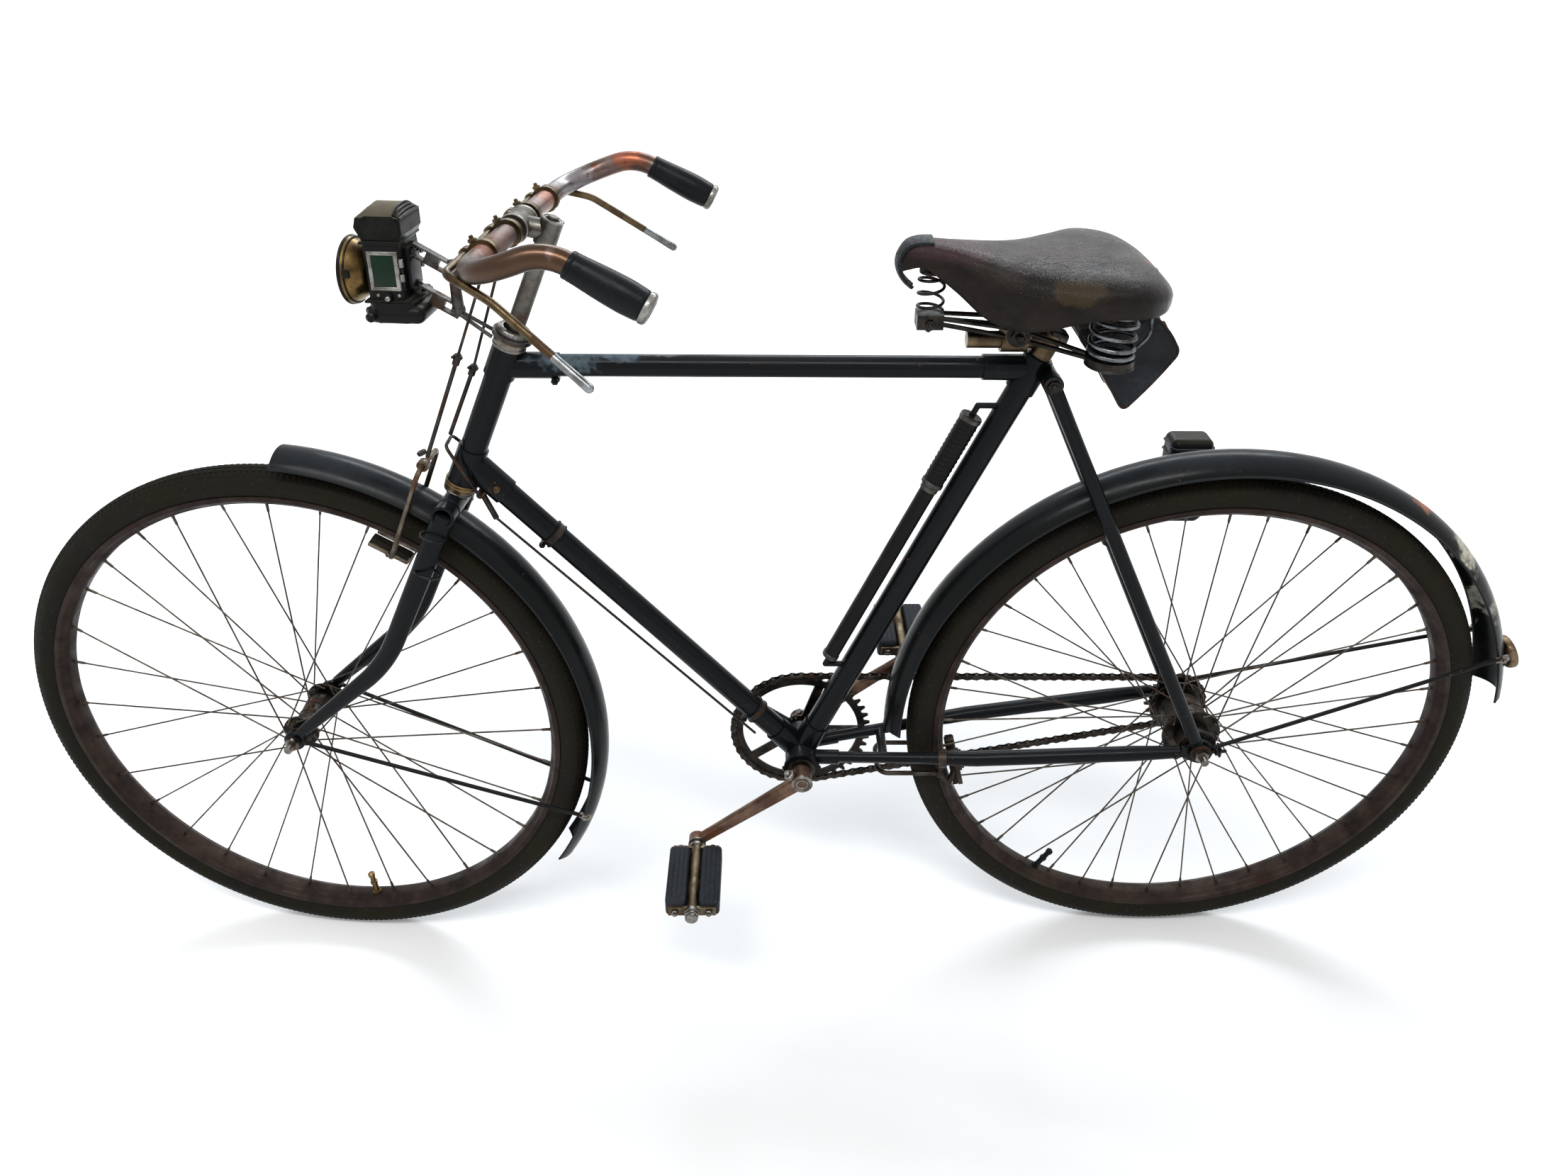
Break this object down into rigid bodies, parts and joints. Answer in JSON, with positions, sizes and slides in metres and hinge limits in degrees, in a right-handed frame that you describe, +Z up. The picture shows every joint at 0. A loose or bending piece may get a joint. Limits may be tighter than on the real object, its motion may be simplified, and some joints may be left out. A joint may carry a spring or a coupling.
{
  "type": "bicycle",
  "caption": "Old diamond-frame roadster bicycle with rod brakes, mudguards, sprung leather saddle, tool bag, pump and box lamp; wheels, cranks, pedals and steering move.",
  "frame": {"origin": "on top of the saddle, where a rider sits, in the bicycle's middle plane", "axes": "+X to the rear, +Y to the rider's right, +Z up"},
  "size_m": [1.8614, 0.4531, 1.0427],
  "materials": {
    "frame_enamel": "worn glossy black enamel with rust spots",
    "guard_enamel": "dusty black enamel with rust spots and scuffs",
    "stay_wire": "rusty painted wire",
    "race_steel": "dull plated steel",
    "bar_chrome": "pitted plating with orange rust",
    "lever_steel": "brown, worn plating",
    "brake_steel": "dark rusted steel",
    "hub_steel": "greasy dark steel",
    "spoke_steel": "dull rusted wire",
    "rim_steel": "dark brown rusted steel",
    "tyre_rubber": "dusty black rubber",
    "crank_steel": "brown rusted steel",
    "drive_steel": "dark greasy rusted steel",
    "chain_steel": "dark greasy steel",
    "pedal_steel": "brown rusted steel",
    "pedal_rubber": "dusty grey-black rubber",
    "grip_rubber": "worn black rubber",
    "post_steel": "tan, tarnished plating",
    "saddle_leather": "polished dark leather",
    "spring_steel": "dull plated wire with rust",
    "bag_leather": "dark leather with worn edges",
    "pump_enamel": "scratched black enamel",
    "lamp_enamel": "black enamel with rust spots",
    "reflector_glass": "faded brown-red reflector"
  },
  "bodies": {
    "frame": {"head_tube": "frame_enamel", "head_cups": "race_steel", "top_tube": "frame_enamel", "down_tube": "frame_enamel", "seat_tube": "frame_enamel", "bottom_bracket": "frame_enamel", "chain_stays": "frame_enamel", "rear_dropouts": "frame_enamel", "seat_stays": "frame_enamel", "rear_axle": "hub_steel", "rear_mudguard": "guard_enamel", "rear_mudguard_stays": "stay_wire", "tail_reflector": "reflector_glass", "rear_lamp": "lamp_enamel", "seat_post": "post_steel", "saddle_cover": "saddle_leather", "saddle_rails": "spring_steel", "front_spring": "spring_steel", "rear_springs": "spring_steel", "saddle_plates": "spring_steel", "tool_bag": "bag_leather", "pump": "pump_enamel", "pump_pegs": "frame_enamel", "chain": "chain_steel", "rear_brake": "brake_steel"},
    "steering": {"fork_crown": "frame_enamel", "fork_blades": "frame_enamel", "head_cones": "race_steel", "front_axle": "hub_steel", "stem": "bar_chrome", "handlebar": "bar_chrome", "left_grip": "grip_rubber", "right_grip": "grip_rubber", "brake_levers": "lever_steel", "lever_brackets": "lever_steel", "front_brake_stirrup": "brake_steel", "front_brake_rods": "brake_steel", "front_mudguard": "guard_enamel", "front_mudguard_stays": "stay_wire", "lamp_body": "lamp_enamel", "lamp_reflector": "lamp_enamel", "lamp_bracket": "lamp_enamel"},
    "front_wheel": {"front_tyre": "tyre_rubber", "front_rim": "rim_steel", "front_spokes": "spoke_steel", "front_hub": "hub_steel"},
    "rear_wheel": {"rear_tyre": "tyre_rubber", "rear_rim": "rim_steel", "rear_spokes": "spoke_steel", "rear_hub": "hub_steel", "rear_sprocket": "drive_steel"},
    "crankset": {"crank_axle": "crank_steel", "chainring": "drive_steel", "left_crank": "crank_steel", "right_crank": "crank_steel", "pedal_axles": "crank_steel"},
    "left_pedal": {"left_pedal_frame": "pedal_steel", "left_pedal_blocks": "pedal_rubber"},
    "right_pedal": {"right_pedal_frame": "pedal_steel", "right_pedal_blocks": "pedal_rubber"}
  },
  "joints": [
    {"name": "steering", "type": "hinge", "parent": "frame", "child": "steering", "pos_m": [-0.77155, 0, -0.622], "axis": [0.3907, 0, 0.9205], "range_deg": [-40, 50]},
    {"name": "front_wheel_spin", "type": "hinge", "parent": "steering", "child": "front_wheel", "pos_m": [-0.85871, 0.00716, -0.62213], "axis": [0.0818, 0.996, -0.0347], "continuous": true},
    {"name": "rear_wheel_spin", "type": "hinge", "parent": "frame", "child": "rear_wheel", "pos_m": [0.255, 0, -0.622], "axis": [0, 1, 0], "continuous": true},
    {"name": "crank_spin", "type": "hinge", "parent": "frame", "child": "crankset", "pos_m": [-0.235, 0, -0.674], "axis": [0, 1, 0], "continuous": true},
    {"name": "left_pedal_spin", "type": "hinge", "parent": "crankset", "child": "left_pedal", "pos_m": [-0.36896, 0, -0.77866], "axis": [0, 1, 0], "continuous": true},
    {"name": "right_pedal_spin", "type": "hinge", "parent": "crankset", "child": "right_pedal", "pos_m": [-0.10104, 0, -0.56934], "axis": [0, 1, 0], "continuous": true}
  ]
}
